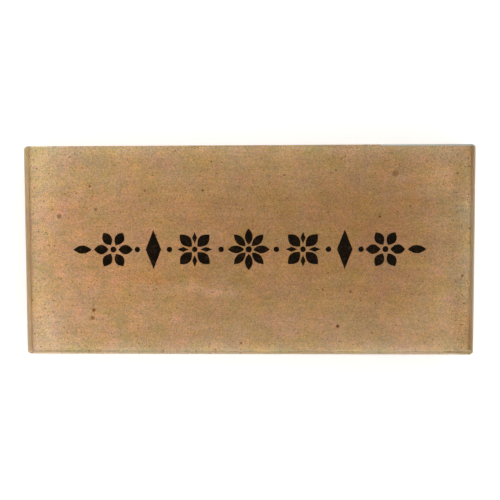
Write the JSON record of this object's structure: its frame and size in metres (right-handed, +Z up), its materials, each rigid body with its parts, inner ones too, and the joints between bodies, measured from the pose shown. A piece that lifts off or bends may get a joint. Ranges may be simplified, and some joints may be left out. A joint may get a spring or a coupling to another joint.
{
  "type": "decoupage glass paperweight",
  "caption": "Thick rectangular glass slab that lies flat as a paperweight or desk plaque, with a printed paper sheet glued face up under it and a felt base.",
  "frame": {"origin": "centre of the underside of the felt base, on the surface that the slab rests on", "axes": "+X along the slab's length, +Y across its width towards the top of the printed sheet, +Z up through its face"},
  "size_m": [0.1906, 0.0888, 0.0139],
  "materials": {
    "glass": "polished",
    "paper": "satin",
    "ink": "matte",
    "felt": "matte"
  },
  "bodies": {
    "root": {"glass_slab": "glass", "printed_sheet": "paper", "felt_base": "felt"}
  },
  "joints": []
}
